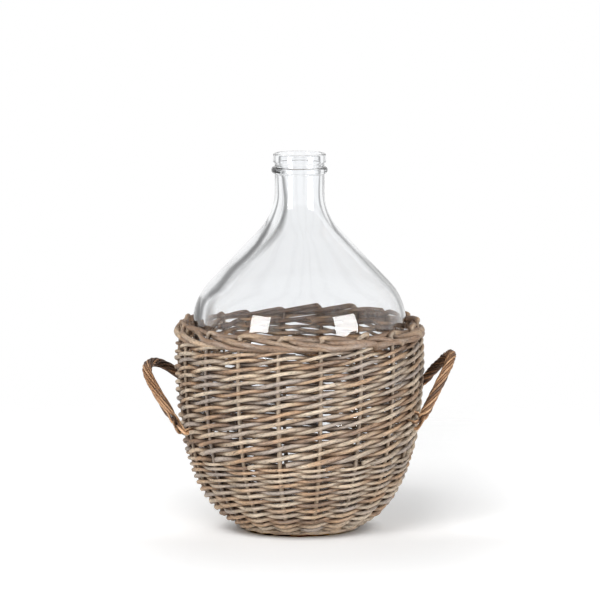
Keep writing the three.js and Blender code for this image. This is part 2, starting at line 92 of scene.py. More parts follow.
class BasketSizes(bpy.types.PropertyGroup):
    """Sizes of the rods and of the wall that they are woven into."""

    stake_count: IntProperty(name="Stakes", description="Upright stakes round the basket", default=18)
    first_stake: angle("First stake", "Angle of the first stake from +X", -40)
    stake_diameter: length("Stake", "Thickness of a stake", 0.0056)
    laid_diameter: length("Laid stake", "Thickness of a stake where it is laid into the border", 0.0066)
    weaver_diameter: length("Weaver", "Thickness of a siding rod", 0.0049)
    butt_diameter: length("Butt", "Thickness of a siding rod at its thick end", 0.0057)
    give: FloatProperty(
        name="Give", description="Share of the thickness left where rods press together", default=0.74
    )
    row_pitch: length("Row pitch", "Mean distance between rows of the upper siding", 0.0050)
    low_pitch: length("Low pitch", "Mean distance between rows of the lower siding", 0.0041)
    base_radius: length("Base radius", "Radius at which the stakes turn up", 0.0783)
    rim_radius: length("Rim radius", "Radius of the wall at the border", 0.147)
    side_swell: length("Side swell", "How much wider the upright part is than the rim", 0.003)
    foot_radius: length("Foot radius", "Radius of the middle of the foot's wale", 0.072)
    upset_reach: length("Upset reach", "How far the upset pulls outwards", 0.0428)
    upset_rise: length("Upset rise", "How far the upset pulls upwards", 0.0167)
    side_lean: length("Side lean", "How far the upper side leans in at its lower end", 0.0034)
    side_reach: length("Side reach", "Length over which the side comes upright", 0.115)
    upright_height: length("Upright height", "Height from which the wall is upright", 0.205)
    waist_height: length("Waist height", "Height at which the upper siding starts", 0.100)
    waist_gap: length("Waist gap", "From the last row of the lower siding up to the upper", 0.0060)
    first_row: length("First row", "Place of the lowest row up the wall", 0.0035)
    border_bend: length("Border bend", "Radius at which a stake is bent over", 0.008)
    border_lift: length("Border lift", "How far the laid stakes stand above the solids' border", 0.0016)
    border_drop: length("Border drop", "Fall of a laid stake from one stake to the next", 0.0049)
    back_lift: length("Back lift", "How much higher the border stands at the back of the basket", 0.0038)
    seed: IntProperty(name="Seed", description="Start of the random drift of the rods", default=7)


class JarSizes(bpy.types.PropertyGroup):
    """Sizes of the glass jar."""

    body_radius: length("Body radius", "Radius of the jar at its widest", 0.1335)
    neck_radius: length("Neck radius", "Radius of the neck", 0.031)
    neck_length: length("Neck length", "From the mouth down to the corner of the cone", 0.075)
    cone_angle: angle("Cone angle", "Angle of the cone from the axis", 43.4)
    shoulder_round: length("Shoulder round", "Radius of the bend from body to cone", 0.075)
    neck_round: length("Neck round", "Radius of the bend from cone to neck", 0.070)
    wall: length("Wall", "Thinnest thickness of the glass", 0.004)
    thick_side: length("Thick side", "Glass added on the side where the wall is thickest", 0.0068)
    thin_front: length("Thin front", "Glass taken off the inside at the front and the back", 0.0014)
    neck_gather: length("Neck gather", "Glass added inside the neck", 0.0019)
    clearance: length("Clearance", "Room between the jar and the rods", 0.0012)
    bottom_round: length("Bottom round", "Radius of the bottom edge", 0.016)
    punt_radius: length("Punt radius", "Radius of the hollow underneath", 0.046)
    punt_height: length("Punt height", "Height of the hollow underneath", 0.012)
    lip_radius: length("Lip radius", "Radius of the lip", 0.033)
    lip_height: length("Lip height", "Height of the lip", 0.011)
    ring_radius: length("Ring radius", "Radius of the bead under the lip", 0.035)
    ring_drop: length("Ring drop", "From the mouth down to the bead", 0.021)
    ring_half: length("Ring half height", "Half the height of the bead", 0.0044)


class HandleSizes(bpy.types.PropertyGroup):
    """Sizes of the rope handles."""

    ply_radius: length("Ply radius", "Radius of one ply of the rope", 0.0032)
    rod_diameter: length("Rod", "Thickness of one of the rods in a ply", 0.0030)
    ring_radius: length("Ring radius", "How far the rods lie from the heart of the rope", 0.0046)
    right_rise: length("Right rise", "Height of the right arch over its feet", 0.0616)
    right_reach: length("Right reach", "How far the right arch stands out", 0.0290)
    right_lean: angle("Right lean", "How far the top of the right arch leans back", -2.5)
    left_rise: length("Left rise", "Height of the left arch over its feet", 0.0656)
    left_reach: length("Left reach", "How far the left arch stands out", 0.0338)
    left_lean: angle("Left lean", "How far the top of the left arch leans back", 1)
    standoff: length("Standoff", "Room between a foot of the rope and the wall", 0.0004)


class Finishes(bpy.types.PropertyGroup):
    """Colours of the rods and the glass."""

    pale: colour("Pale bark", "Dry light rods", 205, 188, 166)
    tan: colour("Tan bark", "Warm rods", 182, 157, 130)
    beige: colour("Beige bark", "Most of the rods", 174, 156, 136)
    grey: colour("Grey bark", "Weathered rods", 164, 151, 140)
    orange: colour("Orange bark", "Rods that kept their bark", 178, 145, 114)
    brown: colour("Brown bark", "Dark rods", 134, 109, 88)
    rope: colour("Rope", "Rods of the handles", 176, 130, 90)
    dark_rope: colour("Dark rope", "Dark rods of the handles", 98, 71, 50)
    gold_rope: colour("Gold rope", "Light rods of the handles", 224, 182, 142)
    glass: colour("Glass", "Tint of the glass", 253, 254, 255)


def unit(vectors):
    """Vectors of length one, in the directions of the given ones."""
    return vectors / np.maximum(np.linalg.norm(vectors, axis=-1, keepdims=True), 1e-12)


def polar(radius, turn, height):
    """Points at a radius, an angle round Z and a height."""
    radius, turn, height = np.broadcast_arrays(radius, turn, height)
    return np.stack([radius * np.cos(turn), radius * np.sin(turn), height], axis=-1)


def around(phase, first, second):
    """Directions at angles from the first of two directions towards the second."""
    return np.cos(phase)[:, None] * first + np.sin(phase)[:, None] * second


def drift(rng, rods, points, knots):
    """A smooth random line from -1 to 1 for each rod: random knots with an S-shaped blend between them."""
    values = rng.uniform(-1, 1, (rods, knots + 1))
    place = np.linspace(0, knots - 1e-6, points)
    low = place.astype(int)
    share = blend_in(place - low)
    return values[:, low] * (1 - share) + values[:, low + 1] * share


def blend_in(share):
    """An S-shaped rise from 0 to 1."""
    return share * share * (3 - 2 * share)


def spline_through(knots, samples):
    """A Catmull-Rom curve through the knots of each line, with the same number of samples in each span."""
    padded = np.concatenate(
        [2 * knots[..., :1, :] - knots[..., 1:2, :], knots, 2 * knots[..., -1:, :] - knots[..., -2:-1, :]],
        axis=-2,
    )
    spans = knots.shape[-2] - 1
    place = np.linspace(0, spans - 1e-9, spans * samples + 1)
    low = place.astype(int)
    t = (place - low)[:, None]
    a, b, c, d = (padded[..., low + i, :] for i in range(4))
    return 0.5 * (2 * b + (c - a) * t + (2 * a - 5 * b + 4 * c - d) * t**2 + (3 * b - a - 3 * c + d) * t**3)


class Wall:
    """The line along which the stakes run, in a plane of radius and height: a cubic Bezier curve from the
    base edge that swings up to the upright part, then a straight line that draws in to the rim. Places on it
    are arc lengths."""

    draw_in = (0.035, 0.008)
    spare = 0.02

    def __init__(self, basket):
        slope = math.atan2(basket.upset_rise, basket.upset_reach)
        self.base_level = FOOT_HEIGHT + ROD_GAP + basket.stake_diameter / 2 * math.cos(slope)
        self.rim_level = BASKET_TOP - basket.stake_diameter / 2 + basket.border_lift
        widest = basket.rim_radius + basket.side_swell
        corners = np.array([
            (basket.base_radius, self.base_level),
            (basket.base_radius + basket.upset_reach, self.base_level + basket.upset_rise),
            (widest - basket.side_lean, basket.upright_height - basket.side_reach),
            (widest, basket.upright_height),
        ])
        t = np.linspace(0, 1, 400)[:, None]
        blend = [(1 - t) ** 3, 3 * t * (1 - t) ** 2, 3 * t**2 * (1 - t), t**3]
        swing = sum(weight * corner for weight, corner in zip(blend, corners))
        rise = np.linspace(basket.upright_height, self.rim_level + self.spare, 80)[1:]
        bounds = [self.rim_level - drop for drop in self.draw_in]
        straight = np.interp(rise, bounds, [widest, basket.rim_radius])
        line = np.concatenate([swing, np.stack([straight, rise], axis=-1)])
        steps = np.linalg.norm(np.diff(line, axis=0), axis=1)
        self.along = np.concatenate([[0], np.cumsum(steps)])
        self.line = line
        self.tangent = unit(np.gradient(line, self.along, axis=0))

    def at(self, along):
        """Radius, height, and the outward and upward parts of the wall's normal at arc lengths."""
        radius, height = (np.interp(along, self.along, self.line[:, i]) for i in (0, 1))
        inward, outward = (np.interp(along, self.along, self.tangent[:, i]) for i in (0, 1))
        return radius, height, outward, -inward

    def along_at(self, height):
        """Arc length at which the wall reaches a height."""
        return float(np.interp(height, self.line[:, 1], self.along))

    def point(self, along, turn, depth):
        """Points at a depth outside the wall line, negative inside it."""
        radius, height, outward, upward = self.at(along)
        return polar(radius + depth * outward, turn, height + depth * upward)

    def normal(self, along, turn):
        """The direction straight out of the wall at arc lengths and angles."""
        radius, height, outward, upward = self.at(along)
        return polar(outward, turn, upward)


def throws(radius, outward, step, contact):
    """How far a rod stands off the stakes in front of one and behind the next, so that it clears both.
    On a round wall the next stake lies further in by the sag, which asks more of the rod in front."""
    spacing = radius * math.sin(step)
    sag = radius * (1 - math.cos(step)) * outward
    front = back = np.full_like(np.asarray(radius, float), contact)
    for _ in range(20):
        reach = front + back
        front = contact * np.hypot(spacing, reach + sag) / spacing
        back = contact * np.hypot(spacing, reach - sag) / spacing
    return front, back


def fill_mesh(name, vertices, quads, caps, attributes):
    """A mesh from arrays: quads and end caps as rows of vertex numbers, and attributes with one value to a
    vertex."""
    mesh = bpy.data.meshes.new(name)
    mesh.vertices.add(len(vertices))
    mesh.vertices.foreach_set("co", vertices.astype(np.float32).ravel())
    corners = np.concatenate([quads.ravel(), caps.ravel()])
    starts = np.arange(len(quads)) * 4
    cap_starts = quads.size + np.arange(len(caps)) * (caps.shape[1] if len(caps) else 0)
    mesh.loops.add(len(corners))
    mesh.loops.foreach_set("vertex_index", corners.astype(np.int32))
    mesh.polygons.add(len(quads) + len(caps))
    mesh.polygons.foreach_set("loop_start", np.concatenate([starts, cap_starts]).astype(np.int32))
    mesh.update(calc_edges=True)
    flat = np.concatenate([np.zeros(len(quads), bool), np.ones(len(caps), bool)])
    mesh.polygons.foreach_set("use_smooth", ~flat)
    for key, values in attributes.items():
        kind = "FLOAT_VECTOR" if values.ndim == 2 else "FLOAT"
        layer = mesh.attributes.new(key, kind, "POINT")
        layer.data.foreach_set("vector" if values.ndim == 2 else "value", values.astype(np.float32).ravel())
    mesh.validate()
    return mesh


def add_object(name, mesh, material):
    """Puts a mesh with its finish into the scene, at the origin and unturned."""
    piece = bpy.data.objects.new(name, mesh)
    bpy.context.scene.collection.objects.link(piece)
    mesh.materials.append(material)
    return piece


def rods_mesh(name, paths, radii, outward, tone, rng, sides=8, depth=0.004):
    """Round rods: a ring of corners round each point of each path, at the rod's radius, in the plane across
    the path whose first direction is the outward one, joined lengthwise into a skin with a flat cap at both
    ends. tone says where on the palette a point is, grain holds the length along the rod and the place across
    it, and recess says how far in front of the wall line the skin lies, which the bark turns into painted
    shade."""
    rods, points = radii.shape
    tangent = unit(np.gradient(paths, axis=1))
    side = unit(outward - tangent * np.sum(outward * tangent, axis=-1, keepdims=True))
    across = np.cross(tangent, side)
    turn = np.arange(sides) * FULL_TURN / sides
    ring = np.cos(turn)[:, None] * side[:, :, None] + np.sin(turn)[:, None] * across[:, :, None]
    vertices = paths[:, :, None] + radii[:, :, None, None] * ring
    index = np.arange(rods * points * sides).reshape(rods, points, sides)
    beside = np.roll(index, -1, axis=2)
    quads = np.stack([index[:, :-1], beside[:, :-1], beside[:, 1:], index[:, 1:]], axis=-1).reshape(-1, 4)
    caps = np.concatenate([index[:, 0, ::-1], index[:, -1]])
    steps = np.linalg.norm(np.diff(paths, axis=1), axis=-1)
    run = np.concatenate([np.zeros((rods, 1)), np.cumsum(steps, axis=1)], axis=1)
    run = run + rng.uniform(0, 40, (rods, 1))
    shape = (rods, points, sides)
    ahead = radii[:, :, None] * np.cos(turn)
    aside = radii[:, :, None] * np.sin(turn)
    grain = np.stack([np.broadcast_to(run[:, :, None], shape), ahead, aside], axis=-1)
    # Painted shade: recess adds the part of the radius that faces outward, so the bark darkens the side of a
    # rod that faces in and lightens the side that faces out
    recess = np.broadcast_to(depth, radii.shape)[:, :, None] + ahead
    attributes = {
        "recess": recess.reshape(-1),
        "tone": np.broadcast_to(tone[:, :, None], shape).reshape(-1),
        "grain": grain.reshape(-1, 3),
    }
    return fill_mesh(name, vertices.reshape(-1, 3), quads, caps, attributes)


class Nodes:
    """Short calls for adding shader nodes to a tree and linking them."""

    def __init__(self, tree):
        tree.nodes.clear()
        self.tree = tree

    def add(self, kind, values=None, **options):
        """A node with its options set; values maps input names or numbers to constants or output sockets."""
        node = self.tree.nodes.new(kind)
        for key, value in options.items():
            setattr(node, key, value)
        for key, value in (values or {}).items():
            if isinstance(value, bpy.types.NodeSocket):
                self.tree.links.new(value, node.inputs[key])
            else:
                node.inputs[key].default_value = value
        return node

    def ramp(self, factor, stops):
        """Colours that change evenly from stop to stop."""
        node = self.add("ShaderNodeValToRGB", {"Fac": factor})
        elements = node.color_ramp.elements
        while len(elements) < len(stops):
            elements.new(0.5)
        for element, (place, tint) in zip(elements, stops):
            element.position = place
            element.color = (*tint, 1)
        return node.outputs["Color"]

    def mix(self, factor, first, second, blend="MIX"):
        """Two colours, each a socket or three numbers, mixed by a factor."""
        first, second = (
            value if isinstance(value, bpy.types.NodeSocket) else (*value, 1) for value in (first, second)
        )
        values = {0: factor, 6: first, 7: second}
        return self.add("ShaderNodeMix", values, data_type="RGBA", blend_type=blend).outputs[2]

    def span(self, value, low, high, start=0.0, end=1.0, shape="LINEAR"):
        """A value that runs from start to end while the given one runs from low to high."""
        values = {"Value": value, "From Min": low, "From Max": high, "To Min": start, "To Max": end}
        return self.add("ShaderNodeMapRange", values, interpolation_type=shape).outputs[0]

    def shown(self):
        """The light path, and one for the rays that show the background: straight from the camera, or by way
        of a mirror or glass."""
        path = self.add("ShaderNodeLightPath").outputs
        turned = self.math("MAXIMUM", path["Is Glossy Ray"], path["Is Transmission Ray"])
        return path, self.math("MAXIMUM", path["Is Camera Ray"], turned)

    def math(self, operation, *values):
        """The result of one sum on sockets and numbers."""
        return self.add("ShaderNodeMath", dict(enumerate(values)), operation=operation).outputs[0]


def new_material(name):
    """An empty finish and the short calls for its nodes."""
    material = bpy.data.materials.new(name)
    material.use_nodes = True
    return material, Nodes(material.node_tree)


def grey(value):
    """The same share of red, green and blue."""
    return (value, value, value)


BARKS = {
    "siding_bark": ("brown", "orange", "tan", "pale", "beige", "grey"),
    "stake_bark": ("brown", "tan", "beige", "pale", "grey"),
    "rope_bark": ("dark_rope", "rope", "gold_rope", "rope"),
    "base_bark": ("brown", "tan", "beige", "grey"),
}
# Painted shade by depth in the weave: skin in the gaps, behind the stakes and on the inner faces is darkened,
# and the foremost skin gets a painted highlight
DEEPEST = -0.009
FOREMOST = 0.006
SHADE_BY_DEPTH = [
    (0.0, (0.80, 0.62, 0.47)),
    (0.25, (0.38, 0.29, 0.21)),
    (0.50, (0.14, 0.10, 0.07)),
    (0.66, (0.47, 0.40, 0.34)),
    (0.82, grey(0.94)),
    (1.0, grey(1.08)),
]


def wicker_material(name, streak=0.42, weather=0.35):
    """Bark: the palette by the rod's tone, dark and light streaks along the grain, patches of grey
    weathering, small dark scars, painted shade that darkens what lies deep in the weave with a painted
    highlight on what lies foremost, and a ridged bump along the rod."""
    material, nodes = new_material(name)
    finish = bpy.context.scene.wicker_finishes
    palette = [getattr(finish, key) for key in BARKS[name]]
    tone = nodes.add("ShaderNodeAttribute", attribute_name="tone")
    grain = nodes.add("ShaderNodeAttribute", attribute_name="grain")
    recess = nodes.add("ShaderNodeAttribute", attribute_name="recess")
    stops = [((i + 0.5) / len(palette), tint) for i, tint in enumerate(palette)]
    base = nodes.ramp(tone.outputs["Fac"], stops)

    def noise(scale, detail):
        """Noise along the rod's own length and thickness, stretched by a scale for each."""
        placed = nodes.add("ShaderNodeMapping", {"Vector": grain.outputs["Vector"], "Scale": scale})
        values = {"Vector": placed.outputs[0], "Scale": 1.0, "Detail": detail, "Roughness": 0.6}
        return nodes.add("ShaderNodeTexNoise", values).outputs["Fac"]

    streaks = noise((65, 480, 480), 3)
    patches = noise((45, 160, 160), 2)
    scars = noise((260, 700, 700), 1)
    bright = 1 + streak * 0.45
    light = nodes.ramp(streaks, [(0.28, grey(1 - streak)), (0.52, grey(1.0)), (0.75, grey(bright))])
    tinted = nodes.mix(1.0, base, light, "MULTIPLY")
    spots = nodes.ramp(patches, [(0.45, grey(0.0)), (0.7, grey(1.0))])
    faded = nodes.mix(nodes.math("MULTIPLY", spots, weather), tinted, palette[-1])
    dark = nodes.ramp(scars, [(0.26, grey(0.4)), (0.42, grey(0.95)), (0.72, grey(1.18))])
    scarred = nodes.mix(1.0, faded, dark, "MULTIPLY")
    # Painted shade and painted highlight, by how deep the skin lies in the weave
    painted_depth_shade = nodes.ramp(nodes.span(recess.outputs["Fac"], DEEPEST, FOREMOST), SHADE_BY_DEPTH)
    bump = nodes.add("ShaderNodeBump", {"Height": streaks, "Strength": 0.5, "Distance": 0.0006})
    shader = nodes.add("ShaderNodeBsdfPrincipled", {
        "Base Color": nodes.mix(1.0, scarred, painted_depth_shade, "MULTIPLY"),
        "Roughness": nodes.span(streaks, 0, 1, 0.72, 0.5),
        "Specular IOR Level": 0.35,
        "Normal": bump.outputs[0],
    })
    nodes.add("ShaderNodeOutputMaterial", {"Surface": shader.outputs[0]})
    return material


def glass_material():
    """Clear glass: full transmission, with painted shade that darkens it where the surface is seen edge on,
    and a faint absorption.
    """
    material, nodes = new_material("clear_jar_glass")
    clear = tuple(bpy.context.scene.wicker_finishes.glass)
    # Painted shade: the tint darkens towards a grazing view, drawing the dark edges of the glass
    facing = nodes.add("ShaderNodeLayerWeight", {"Blend": 0.5})
    shader = nodes.add("ShaderNodeBsdfPrincipled", {
        "Base Color": nodes.ramp(facing.outputs["Facing"], [(0.0, clear), (0.8, clear), (1.0, grey(0.45))]),
        "Roughness": 0.0,
        "IOR": 1.5,
        "Transmission Weight": 1.0,
    })
    volume = nodes.add("ShaderNodeVolumeAbsorption", {"Color": (0.78, 0.80, 0.84, 1), "Density": 4.0})
    nodes.add("ShaderNodeOutputMaterial", {"Surface": shader.outputs[0], "Volume": volume.outputs[0]})
    return material


def dress(piece, body, slot, *nodes):
    """Seats a piece on its body and hides the solids that it stands for; the slot is not used."""
    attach(piece, body)
    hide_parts(*nodes)


def node_names(start):
    """Names of the solids that begin alike."""
    return sorted(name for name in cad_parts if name.startswith(start))


def stake_step(basket):
    """Angle from one stake to the next: a full turn shared out among the stakes."""
    return FULL_TURN / basket.stake_count


def stake_angles(basket):
    """Angles of all stakes, in even steps from the first."""
    return basket.first_stake + np.arange(basket.stake_count) * stake_step(basket)


def weave_depth(wall, basket, along, phase):
    """Depth of a siding rod: a cosine wave that is in front of the wall line at odd phases and behind it at
    even ones."""
    radius, height, outward, upward = wall.at(along)
    contact = (basket.stake_diameter + basket.weaver_diameter) / 2 * basket.give
    front, back = throws(radius, outward, stake_step(basket), contact)
    return (front - back) / 2 - (front + back) / 2 * np.cos(math.pi * phase)


def packed(low, high, share, tighter):
    """Places from low to high for shares from 0 to 1, with the rows closer together towards the top, and
    the slope of the places."""
    place = low + (high - low) * share * (1 + tighter * (1 - share))
    return place, (high - low) * (1 + tighter * (1 - 2 * share))


def twist(phase, higher=0.0):
    """Rise of a rod over the middle of its pair, in rows: it climbs in front of a stake, falls back behind
    the next one and may run higher behind than in front."""
    return higher * np.cos(math.pi * phase) - 0.5 * np.sin(math.pi * phase)


def lens(phase, amount=0.04, flat=0.24):
    """Thickness of a siding rod along its way, as a share: a cosine that pinches it between the stakes, and a
    squared one that swells it behind a stake."""
    return 1 + amount * np.cos(FULL_TURN * phase) + flat * (0.5 + 0.5 * np.cos(math.pi * phase)) ** 2


def border_bottom(wall, basket):
    """Height of the border's lower edge: a laid stake has fallen by some steps from the rim there."""
    return wall.rim_level - 3.3 * basket.border_drop


def at_back(turn):
    """One at the back of the basket, fading to nothing at the front as the square of a raised cosine."""
    return (0.5 + 0.5 * np.sin(turn)) ** 2


class WICKER_OT_stakes(bpy.types.Operator):
    """Stakes that run up the wall, bend over to the right at the rim and are laid behind one neighbour, in
    front of two and behind one more to make the border"""

    bl_idname = "wicker.stakes"
    bl_label = "Stakes and border"

    wall_knots = 16
    samples = 5
    quarter = np.radians([30, 60, 90])
    # Where a laid stake is, in stakes from its own, and how far in front of the rim it lies there
    shares = np.array([0.55, 1, 1.5, 2, 2.5, 3, 3.5, 4, 4.25])
    side = np.array([-0.55, -1, 0.0, 1, 1.15, 1.1, 0.1, -1, -1])
    unevenness = 0.0016
    # The depths below feed only the painted shade of the bark, not the shape: the upright stakes are set a
    # little deep so that they come out darker
    upright_depth = -0.0006
    border_depth = 0.0028

    def knots(self, wall, basket, rng):
        """Knots of all stakes, the angles and the outward directions there: up the wall, round a quarter
        circle at the rim, then sideways with a steady fall, shaken a little and lifted at the back."""
        step = stake_step(basket)
        bend = basket.border_bend
        throw = basket.laid_diameter * 0.95
        top = wall.rim_level - basket.border_drop * bend / (basket.rim_radius * step)
        along = np.linspace(0, wall.along_at(top - bend), self.wall_knots)
        radius, height, outward, upward = wall.at(along)
        over = len(self.quarter) + len(self.shares)
        turn = np.concatenate([
            np.zeros(len(along)),
            bend * (1 - np.cos(self.quarter)) / basket.rim_radius,
            self.shares * step,
        ])
        radius = np.concatenate([
            radius, np.full(len(self.quarter), basket.rim_radius), basket.rim_radius + throw * self.side,
        ])
        height = np.concatenate([
            height,
            top - bend * (1 - np.sin(self.quarter)),
            wall.rim_level - self.shares * basket.border_drop,
        ])
        turn = stake_angles(basket)[:, None] + turn
        laid = np.concatenate([
            np.zeros(len(along)), np.full(len(self.quarter), 0.4), np.ones(len(self.shares)),
        ])
        shake = laid * rng.normal(0, self.unevenness, turn.shape) * (1 - 0.5 * at_back(turn))
        rising = np.clip((height - basket.upright_height) / (top - basket.upright_height), 0, 1)
        lift = basket.back_lift * at_back(turn) * rising**2
        knots = polar(radius + shake * 0.5, turn + shake / basket.rim_radius * 3, height + shake + lift)
        facing = polar(
            np.concatenate([outward, np.ones(over)]), turn, np.concatenate([upward, np.zeros(over)])
        )
        standing = np.concatenate([np.zeros(len(along) + len(self.quarter)), throw * self.side])
        return knots, turn, facing, standing

    def execute(self, context):
        basket = context.scene.basket_sizes
        wall = Wall(basket)
        rng = np.random.default_rng(basket.seed)
        count = basket.stake_count
        knots, turn, facing, standing = self.knots(wall, basket, rng)
        paths = spline_through(knots, self.samples)
        points = paths.shape[1]
        place = np.arange(points) / self.samples
        laid_from = self.wall_knots + len(self.quarter)
        swell = np.interp(place, [0, self.wall_knots - 1, laid_from], [0, 0, 1])
        thick = 1 + 0.12 * drift(rng, count, points, 50) + 0.13 * rng.uniform(-1, 1, (count, 1)) * swell
        thick = thick + 0.16 * swell * at_back(spline_through(turn[..., None], self.samples)[..., 0])
        diameter = basket.stake_diameter + (basket.laid_diameter - basket.stake_diameter) * swell
        upright = rng.uniform(0.6, 0.95, (count, 1))
        laid_tone = rng.uniform(-0.05, 0.22, (count, 1)) + 0.22 * drift(rng, count, points, 30)
        tone = upright + (laid_tone - upright) * swell
        # Painted shade: a depth that only darkens or lightens the stakes, deeper and darker for the laid
        # stakes on the inside of the border
        depth = self.upright_depth + self.border_depth * swell
        depth = depth + 0.35 * np.interp(place, np.arange(len(standing)), standing)
        facing = spline_through(facing, self.samples)
        mesh = rods_mesh("stakes", paths, diameter / 2 * thick, facing, tone, rng, 10, depth)
        piece = add_object("stakes_and_border", mesh, wicker_material("stake_bark", 0.3, 0.5))
        dress(piece, "basket", "stake_wicker", *node_names("stake_"))
        return {"FINISHED"}


class WICKER_OT_upper_siding(bpy.types.Operator):
    """Upper siding: one rod to each stake, thick end first, each climbing one row per stake to the right,
    behind one stake and in front of the next. Neighbouring rods are worked as a pair that crosses between the
    stakes"""

    bl_idname = "wicker.upper_siding"
    bl_label = "Upper siding"

    tighter = 0.14
    higher = -0.24
    butt_end = 0.84
    tip_end = 0.4
    wander = 0.0012
    shiver = 0.0004

    def execute(self, context):
        basket = context.scene.basket_sizes
        wall = Wall(basket)
        rng = np.random.default_rng(basket.seed + 1)
        count = basket.stake_count
        waist = wall.along_at(basket.waist_height)
        top = wall.along_at(border_bottom(wall, basket) - basket.weaver_diameter / 2)
        strokes = 2 * round((top - waist) / basket.row_pitch / 2)
        phase = np.linspace(-self.butt_end, strokes + self.tip_end, 8 * strokes + 11)
        points = len(phase)
        first = np.arange(count)[:, None]
        partner = first % 2 - 0.5
        place, pitch = packed(waist, top, phase / strokes, self.tighter)
        wander = self.wander * drift(rng, count, points, strokes)
        wander = wander + self.shiver * drift(rng, count, points, 2 * strokes)
        along = place + pitch / strokes * (twist(phase, self.higher) - partner) + wander
        turn = basket.first_stake + (first + phase) * stake_step(basket)
        along = along + basket.back_lift * at_back(turn) * np.clip(phase / strokes, 0, 1) ** 2
        depth = weave_depth(wall, basket, along, np.broadcast_to(phase, along.shape))
        depth = depth * (1 + 0.06 * drift(rng, count, points, strokes))
        paths = wall.point(along, turn, depth)
        thick = lens(phase) * (1 + 0.12 * drift(rng, count, points, strokes))
        thick = thick + 0.09 * drift(rng, count, points, 3 * strokes)
        weaver = basket.weaver_diameter
        taper = np.interp(phase, [0, 4, strokes], [basket.butt_diameter, weaver * 1.06, weaver * 0.92])
        radii = taper / 2 * thick * (1 + 0.05 * rng.uniform(-1, 1, (count, 1)))
        tone = 0.5 + 0.28 * rng.uniform(-1, 1, (count, 1)) + 0.4 * drift(rng, count, points, strokes)
        mesh = rods_mesh("upper_siding", paths, radii, wall.normal(along, turn), tone, rng, 8, depth)
        piece = add_object("upper_siding", mesh, wicker_material("siding_bark"))
        dress(piece, "basket", "siding_wicker", *node_names("upper_siding_rod"))
        return {"FINISHED"}


class WICKER_OT_lower_siding(bpy.types.Operator):
    """Lower siding: a pair of rods worked round and round, each in front of every other stake, crossing
    between the stakes. A round is level and steps up to the next one at the back; rounds are closer towards
    the waist"""

    bl_idname = "wicker.lower_siding"
    bl_label = "Lower siding"

    tighter = 0.26
    higher = -0.12
    step_share = 0.45
    wander = 0.0006

    def execute(self, context):
        basket = context.scene.basket_sizes
        wall = Wall(basket)
        rng = np.random.default_rng(basket.seed + 2)
        rods = 2
        count = basket.stake_count
        low, high = basket.first_row, wall.along_at(basket.waist_height) - basket.waist_gap
        rounds = round((high - low) / basket.low_pitch / 2)
        strokes = rounds * count
        phase = np.linspace(0, strokes, 8 * strokes + 1)
        points = len(phase)
        turned = phase / count
        whole = np.floor(turned)
        part = np.clip((turned - whole - 1 + self.step_share) / self.step_share, 0, 1)
        level = (whole + blend_in(part)) / (rounds - 1)
        place, pitch = packed(low, high, np.minimum(level, 1), self.tighter)
        order = phase + np.arange(rods)[:, None]
        wander = self.wander * drift(rng, rods, points, strokes)
        along = place + pitch / (rounds - 1) / 2 * twist(order, self.higher) + wander
        start = math.pi / 2 + self.step_share * math.pi
        turn = np.broadcast_to(start, along.shape) + phase * stake_step(basket)
        turn = turn + math.remainder(basket.first_stake - turn[0, 0], stake_step(basket))
        depth = weave_depth(wall, basket, along, order)
        paths = wall.point(along, turn, depth)
        thick = lens(order) * (1 + 0.12 * drift(rng, rods, points, strokes // 2))
        thick = thick + 0.09 * drift(rng, rods, points, 3 * strokes)
        ends = [basket.butt_diameter * 0.94, basket.weaver_diameter * 0.82]
        radii = np.interp(phase / strokes, [0, 1], ends) / 2 * thick
        tone = 0.5 + 0.3 * drift(rng, rods, points, strokes // 5) + 0.35 * drift(rng, rods, points, strokes)
        mesh = rods_mesh("lower_siding", paths, radii, wall.normal(along, turn), tone, rng, 8, depth)
        piece = add_object("lower_siding", mesh, wicker_material("siding_bark"))
        dress(piece, "basket", "siding_wicker", *node_names("lower_siding_rod"))
        return {"FINISHED"}


